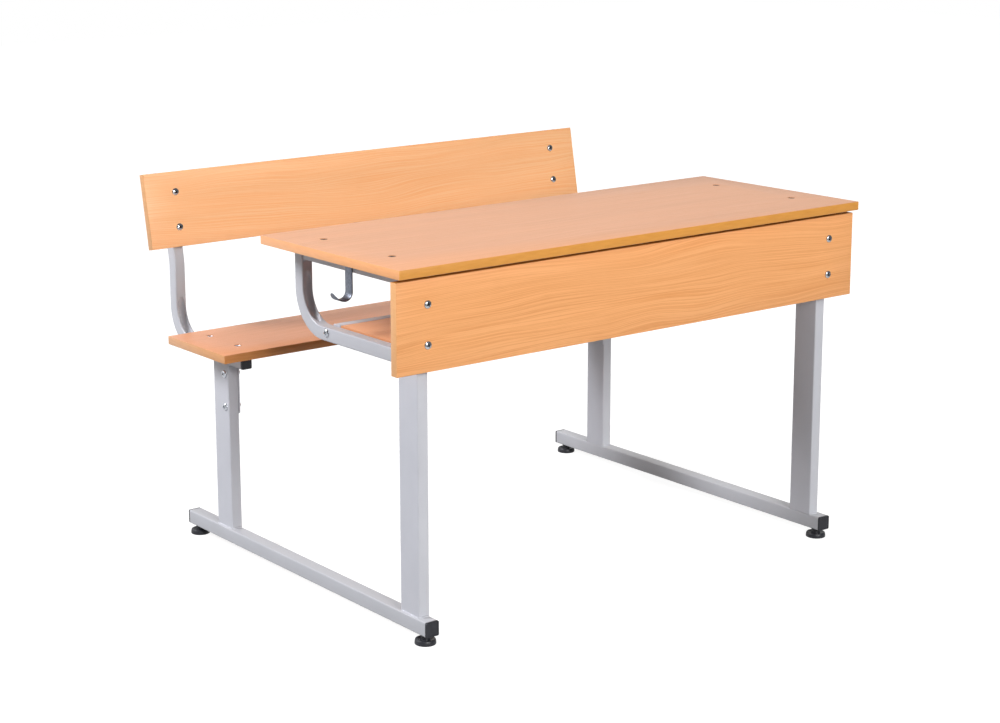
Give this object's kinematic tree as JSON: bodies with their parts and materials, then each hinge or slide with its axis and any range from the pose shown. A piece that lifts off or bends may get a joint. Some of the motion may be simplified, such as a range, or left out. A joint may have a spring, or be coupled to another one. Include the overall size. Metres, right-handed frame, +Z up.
{
  "type": "school desk with bench",
  "caption": "Two-seat school desk joined to a bench with backrest by two welded steel tube frames, with laminated boards, a book shelf, bag hooks and levelling feet",
  "frame": {"origin": "on the floor, below the middle of the whole desk and bench", "axes": "+X along the boards, to the right of someone who faces the outer side of the modesty panel; +Y from the modesty panel towards the bench and its backrest; +Z up"},
  "size_m": [1.2, 0.985, 0.8011],
  "materials": {
    "beech_laminate": "satin beech-pattern melamine face on particle board",
    "grey_powder_coat": "satin light silver-grey powder coat",
    "black_plastic": "moulded black plastic, lightly grained",
    "zinc_plate": "bright zinc plating"
  },
  "bodies": {
    "desk_body": {"desktop": "beech_laminate", "modesty_panel": "beech_laminate", "seat_board": "beech_laminate", "book_shelf": "beech_laminate", "backrest_board": "beech_laminate", "shelf_rail": "grey_powder_coat", "left_skid": "grey_powder_coat", "left_skid_front_plug": "black_plastic", "left_skid_rear_plug": "black_plastic", "left_front_leg": "grey_powder_coat", "left_rear_leg": "grey_powder_coat", "left_top_rail": "grey_powder_coat", "left_desk_bow": "grey_powder_coat", "left_seat_bow": "grey_powder_coat", "left_seat_bow_front_plug": "black_plastic", "left_seat_bow_top_plug": "black_plastic", "left_seat_bracket": "grey_powder_coat", "left_bag_hook": "zinc_plate", "left_desktop_screw_front": "zinc_plate", "left_desktop_screw_rear": "zinc_plate", "left_seat_screw_front": "zinc_plate", "left_seat_screw_rear": "zinc_plate", "left_panel_screw_upper": "zinc_plate", "left_panel_screw_lower": "zinc_plate", "left_backrest_screw_upper": "zinc_plate", "left_backrest_screw_lower": "zinc_plate", "left_bracket_bolt_upper": "zinc_plate", "left_bracket_bolt_lower": "zinc_plate", "left_shelf_rail_bolt": "zinc_plate", "right_skid": "grey_powder_coat", "right_skid_front_plug": "black_plastic", "right_skid_rear_plug": "black_plastic", "right_front_leg": "grey_powder_coat", "right_rear_leg": "grey_powder_coat", "right_top_rail": "grey_powder_coat", "right_desk_bow": "grey_powder_coat", "right_seat_bow": "grey_powder_coat", "right_seat_bow_front_plug": "black_plastic", "right_seat_bow_top_plug": "black_plastic", "right_seat_bracket": "grey_powder_coat", "right_bag_hook": "zinc_plate", "right_desktop_screw_front": "zinc_plate", "right_desktop_screw_rear": "zinc_plate", "right_seat_screw_front": "zinc_plate", "right_seat_screw_rear": "zinc_plate", "right_panel_screw_upper": "zinc_plate", "right_panel_screw_lower": "zinc_plate", "right_backrest_screw_upper": "zinc_plate", "right_backrest_screw_lower": "zinc_plate", "right_bracket_bolt_upper": "zinc_plate", "right_bracket_bolt_lower": "zinc_plate", "right_shelf_rail_bolt": "zinc_plate"},
    "left_front_foot_pad_body": {"left_front_foot_pad": "black_plastic"},
    "left_front_foot_stud_body": {"left_front_foot_stud": "zinc_plate"},
    "left_rear_foot_pad_body": {"left_rear_foot_pad": "black_plastic"},
    "left_rear_foot_stud_body": {"left_rear_foot_stud": "zinc_plate"},
    "right_front_foot_pad_body": {"right_front_foot_pad": "black_plastic"},
    "right_front_foot_stud_body": {"right_front_foot_stud": "zinc_plate"},
    "right_rear_foot_pad_body": {"right_rear_foot_pad": "black_plastic"},
    "right_rear_foot_stud_body": {"right_rear_foot_stud": "zinc_plate"}
  },
  "joints": [
    {"name": "left_front_foot_height", "type": "slide", "parent": "desk_body", "child": "left_front_foot_pad_body", "axis": [0, 0, -1], "range_m": [0, 0.012]},
    {"name": "left_front_foot_turn", "type": "hinge", "parent": "left_front_foot_pad_body", "child": "left_front_foot_stud_body", "pos_m": [-0.5295, -0.46647, 0], "axis": [0, 0, -1], "range_deg": [0, 2880]},
    {"name": "left_rear_foot_height", "type": "slide", "parent": "desk_body", "child": "left_rear_foot_pad_body", "axis": [0, 0, -1], "range_m": [0, 0.012]},
    {"name": "left_rear_foot_turn", "type": "hinge", "parent": "left_rear_foot_pad_body", "child": "left_rear_foot_stud_body", "pos_m": [-0.5295, 0.37353, 0], "axis": [0, 0, -1], "range_deg": [0, 2880]},
    {"name": "right_front_foot_height", "type": "slide", "parent": "desk_body", "child": "right_front_foot_pad_body", "axis": [0, 0, -1], "range_m": [0, 0.012]},
    {"name": "right_front_foot_turn", "type": "hinge", "parent": "right_front_foot_pad_body", "child": "right_front_foot_stud_body", "pos_m": [0.5295, -0.46647, 0], "axis": [0, 0, -1], "range_deg": [0, 2880]},
    {"name": "right_rear_foot_height", "type": "slide", "parent": "desk_body", "child": "right_rear_foot_pad_body", "axis": [0, 0, -1], "range_m": [0, 0.012]},
    {"name": "right_rear_foot_turn", "type": "hinge", "parent": "right_rear_foot_pad_body", "child": "right_rear_foot_stud_body", "pos_m": [0.5295, 0.37353, 0], "axis": [0, 0, -1], "range_deg": [0, 2880]}
  ],
  "couplings": [
    {"joint": "left_front_foot_turn", "follows": "left_front_foot_height", "rad_per_m": 4188.8},
    {"joint": "left_rear_foot_turn", "follows": "left_rear_foot_height", "rad_per_m": 4188.8},
    {"joint": "right_front_foot_turn", "follows": "right_front_foot_height", "rad_per_m": 4188.8},
    {"joint": "right_rear_foot_turn", "follows": "right_rear_foot_height", "rad_per_m": 4188.8}
  ]
}
